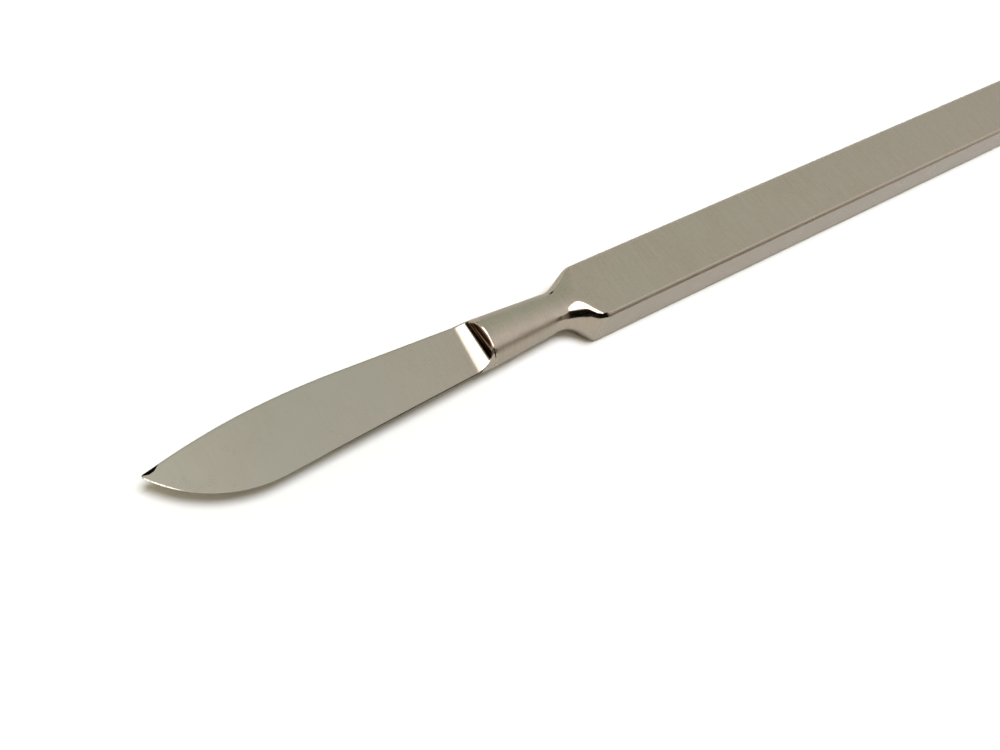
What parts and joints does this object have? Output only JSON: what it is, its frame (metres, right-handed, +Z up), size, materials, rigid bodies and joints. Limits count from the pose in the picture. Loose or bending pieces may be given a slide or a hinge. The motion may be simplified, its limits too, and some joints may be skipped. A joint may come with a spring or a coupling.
{
  "type": "ophthalmic scalpel",
  "caption": "One-piece stainless steel eye scalpel: short bellied blade ground thin, turned neck with a flared shoulder, and a straight flat-sided handle.",
  "frame": {"origin": "middle of the box's underside: the handle's lower flat lies on Z = 0", "axes": "+X from the blade's tip along the handle to its butt, -Y the side of the cutting edge, +Y the blade's back, +Z up, square to the handle's broad flats"},
  "size_m": [0.13, 0.0054, 0.0039],
  "materials": {
    "scalpel": "satin"
  },
  "bodies": {
    "root": {"scalpel": "scalpel"}
  },
  "joints": []
}
